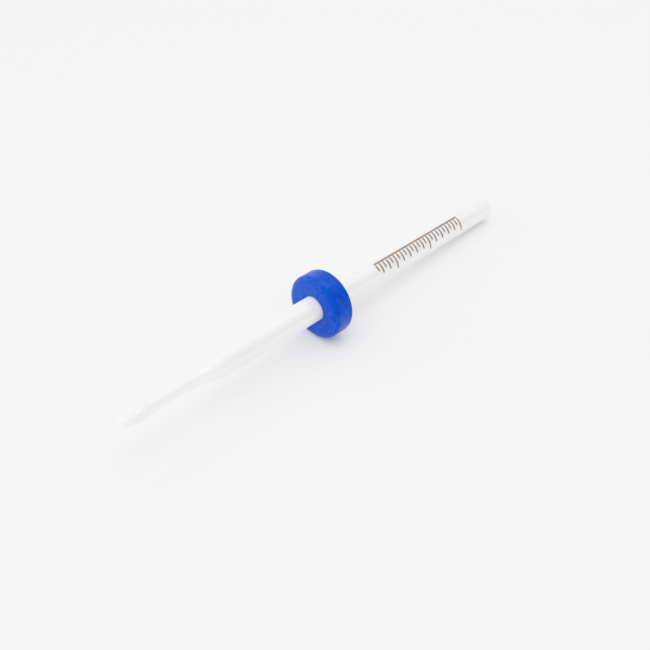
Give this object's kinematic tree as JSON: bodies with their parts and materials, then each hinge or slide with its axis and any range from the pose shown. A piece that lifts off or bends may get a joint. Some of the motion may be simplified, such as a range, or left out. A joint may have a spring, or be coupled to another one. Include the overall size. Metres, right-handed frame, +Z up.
{
  "type": "nail drill bit",
  "caption": "Slim one-piece ceramic rotary bit with a plain round shank, a tapered neck and a small fluted pear-shaped head, wearing a push-on colour ring.",
  "frame": {"origin": "on the table, under the middle of the part's length, with the bit lying on its ring and on the end of its shank", "axes": "+Z up, -X towards the bit's raised tip, +X towards the end of the shank; the bit's axis lies in the XZ plane, 4.53 degrees from X"},
  "size_m": [0.0466, 0.0062, 0.0062],
  "materials": {
    "zirconia": "gloss",
    "ring_silicone": "satin"
  },
  "bodies": {
    "bit": {"ceramic_bit": "zirconia"},
    "ring": {"grit_ring": "ring_silicone"}
  },
  "joints": [
    {"name": "ring_slide", "type": "slide", "parent": "bit", "child": "ring", "axis": [-0.9969, 0, 0.0789], "range_m": [-0.0234, 0.0106]}
  ]
}
